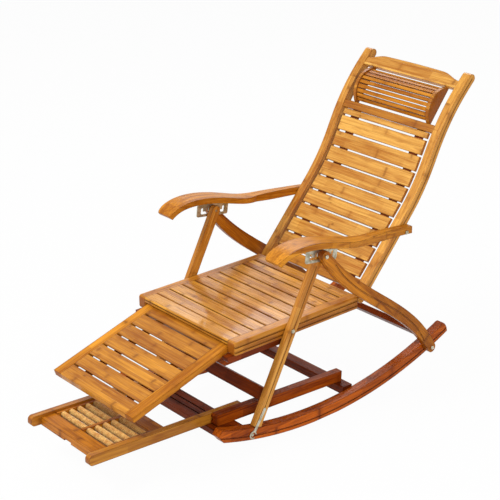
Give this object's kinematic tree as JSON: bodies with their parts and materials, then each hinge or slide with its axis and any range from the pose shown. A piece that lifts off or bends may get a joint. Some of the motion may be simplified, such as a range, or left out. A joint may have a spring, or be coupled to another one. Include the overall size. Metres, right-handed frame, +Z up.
{
  "type": "folding rocking chair",
  "caption": "Folding bamboo rocking chair with a slatted reclining back, arched pillow, notched armrests, sliding leg rest and a pull-out roller foot massager.",
  "frame": {"origin": "on the floor, at the middle of the chair's length and width", "axes": "+Z up, -Y is the way the sitter faces, +X is the sitter's left"},
  "size_m": [0.584, 1.4812, 0.9832],
  "materials": {
    "bamboo_honey": "lacquered",
    "bamboo_amber": "lacquered",
    "bamboo_dark": "lacquered",
    "roller_wood": "lacquered",
    "zinc_steel": "zinc plated"
  },
  "bodies": {
    "base": {"rocker_left": "bamboo_dark", "rocker_right": "bamboo_dark", "front_board": "bamboo_dark", "middle_rail": "bamboo_dark", "guide_left": "bamboo_amber", "guide_right": "bamboo_amber", "hook_pins": "zinc_steel"},
    "rear_legs": {"rear_leg_left": "bamboo_amber", "rear_leg_right": "bamboo_amber", "rear_leg_rail": "bamboo_dark", "rear_leg_bolts": "zinc_steel"},
    "front_legs": {"front_leg_left": "bamboo_honey", "front_leg_right": "bamboo_honey", "front_leg_rail": "bamboo_dark", "front_leg_bolts": "zinc_steel"},
    "hook_left": {"hook_left": "zinc_steel"},
    "hook_right": {"hook_right": "zinc_steel"},
    "seat": {"seat_rail_left": "bamboo_amber", "seat_rail_right": "bamboo_amber", "seat_front_board": "bamboo_honey", "seat_slats": "bamboo_honey", "seat_runners": "bamboo_dark", "seat_hinge_plates": "zinc_steel"},
    "back_pivot": {"back_pivot_bolts": "zinc_steel"},
    "back": {"stile_left": "bamboo_honey", "stile_right": "bamboo_honey", "crest_rail": "bamboo_honey", "pillow_rail": "bamboo_honey", "back_slats": "bamboo_honey", "back_battens": "bamboo_amber", "pillow_ends": "bamboo_honey", "pillow_slats": "bamboo_honey", "lower_rail": "bamboo_honey"},
    "arm_pivot": {"arm_pivot_bolts": "zinc_steel"},
    "armrests": {"armrest_left": "bamboo_amber", "armrest_right": "bamboo_amber", "comb_plate_left": "zinc_steel", "comb_plate_right": "zinc_steel"},
    "legrest_slide": {"legrest_pins": "zinc_steel"},
    "legrest": {"legrest_rails": "bamboo_honey", "legrest_slats": "bamboo_honey", "legrest_battens": "bamboo_honey"},
    "massage_frame": {"massage_rails": "bamboo_amber", "massage_planks": "bamboo_amber", "roller_bearers": "bamboo_amber"},
    "roller_left_1": {"roller_left_1": "roller_wood"},
    "roller_left_2": {"roller_left_2": "roller_wood"},
    "roller_left_3": {"roller_left_3": "roller_wood"},
    "roller_left_4": {"roller_left_4": "roller_wood"},
    "roller_left_5": {"roller_left_5": "roller_wood"},
    "roller_right_1": {"roller_right_1": "roller_wood"},
    "roller_right_2": {"roller_right_2": "roller_wood"},
    "roller_right_3": {"roller_right_3": "roller_wood"},
    "roller_right_4": {"roller_right_4": "roller_wood"},
    "roller_right_5": {"roller_right_5": "roller_wood"}
  },
  "joints": [
    {"name": "fold", "type": "hinge", "parent": "base", "child": "rear_legs", "pos_m": [0, 0.54097, 0.10029], "axis": [1, 0, 0], "range_deg": [-80, 0]},
    {"name": "fold_front_legs", "type": "hinge", "parent": "rear_legs", "child": "front_legs", "pos_m": [0, 0.05697, 0.56], "axis": [1, 0, 0], "range_deg": [0, 62]},
    {"name": "fold_seat", "type": "hinge", "parent": "front_legs", "child": "seat", "pos_m": [0, -0.05562, 0.343], "axis": [1, 0, 0], "range_deg": [0, 35]},
    {"name": "fold_back", "type": "hinge", "parent": "seat", "child": "back_pivot", "pos_m": [0, 0.25297, 0.348], "axis": [1, 0, 0], "range_deg": [-49.5, 0]},
    {"name": "recline", "type": "hinge", "parent": "back_pivot", "child": "back", "pos_m": [0, 0.25297, 0.348], "axis": [1, 0, 0], "range_deg": [-14, 14]},
    {"name": "fold_arms", "type": "hinge", "parent": "back", "child": "arm_pivot", "pos_m": [0, 0.41896, 0.53628], "axis": [1, 0, 0], "range_deg": [0, 33.2]},
    {"name": "recline_arms", "type": "hinge", "parent": "arm_pivot", "child": "armrests", "pos_m": [0, 0.41896, 0.53628], "axis": [1, 0, 0], "range_deg": [-8.1, 8.1]},
    {"name": "unhook_left", "type": "hinge", "parent": "front_legs", "child": "hook_left", "pos_m": [0, -0.17132, 0.11999], "axis": [1, 0, 0], "range_deg": [0, 60]},
    {"name": "unhook_right", "type": "hinge", "parent": "front_legs", "child": "hook_right", "pos_m": [0, -0.17132, 0.11999], "axis": [1, 0, 0], "range_deg": [0, 60]},
    {"name": "legrest_slide", "type": "slide", "parent": "seat", "child": "legrest_slide", "axis": [0, 1, 0], "range_m": [0, 0.34]},
    {"name": "legrest_tilt", "type": "hinge", "parent": "legrest_slide", "child": "legrest", "pos_m": [0, -0.23903, 0.336], "axis": [1, 0, 0], "range_deg": [-17, 0]},
    {"name": "massage_slide", "type": "slide", "parent": "base", "child": "massage_frame", "axis": [0, 0.9986, -0.0523], "range_m": [0, 0.4]},
    {"name": "spin_roller_left_1", "type": "hinge", "parent": "massage_frame", "child": "roller_left_1", "pos_m": [0, -0.63797, 0.11766], "axis": [1, 0, 0], "continuous": true},
    {"name": "spin_roller_left_2", "type": "hinge", "parent": "massage_frame", "child": "roller_left_2", "pos_m": [0, -0.60901, 0.11614], "axis": [1, 0, 0], "continuous": true},
    {"name": "spin_roller_left_3", "type": "hinge", "parent": "massage_frame", "child": "roller_left_3", "pos_m": [0, -0.58005, 0.11463], "axis": [1, 0, 0], "continuous": true},
    {"name": "spin_roller_left_4", "type": "hinge", "parent": "massage_frame", "child": "roller_left_4", "pos_m": [0, -0.55109, 0.11311], "axis": [1, 0, 0], "continuous": true},
    {"name": "spin_roller_left_5", "type": "hinge", "parent": "massage_frame", "child": "roller_left_5", "pos_m": [0, -0.52213, 0.11159], "axis": [1, 0, 0], "continuous": true},
    {"name": "spin_roller_right_1", "type": "hinge", "parent": "massage_frame", "child": "roller_right_1", "pos_m": [0, -0.63797, 0.11766], "axis": [1, 0, 0], "continuous": true},
    {"name": "spin_roller_right_2", "type": "hinge", "parent": "massage_frame", "child": "roller_right_2", "pos_m": [0, -0.60901, 0.11614], "axis": [1, 0, 0], "continuous": true},
    {"name": "spin_roller_right_3", "type": "hinge", "parent": "massage_frame", "child": "roller_right_3", "pos_m": [0, -0.58005, 0.11463], "axis": [1, 0, 0], "continuous": true},
    {"name": "spin_roller_right_4", "type": "hinge", "parent": "massage_frame", "child": "roller_right_4", "pos_m": [0, -0.55109, 0.11311], "axis": [1, 0, 0], "continuous": true},
    {"name": "spin_roller_right_5", "type": "hinge", "parent": "massage_frame", "child": "roller_right_5", "pos_m": [0, -0.52213, 0.11159], "axis": [1, 0, 0], "continuous": true}
  ],
  "couplings": [
    {"joint": "fold_front_legs", "follows": "fold", "ratio": -0.775},
    {"joint": "fold_seat", "follows": "fold", "ratio": -0.4375},
    {"joint": "fold_back", "follows": "fold", "ratio": 0.61875},
    {"joint": "fold_arms", "follows": "fold", "ratio": -0.415},
    {"joint": "recline_arms", "follows": "recline", "ratio": -0.578},
    {"joint": "legrest_tilt", "follows": "legrest_slide", "rad_per_m": -0.87267}
  ]
}
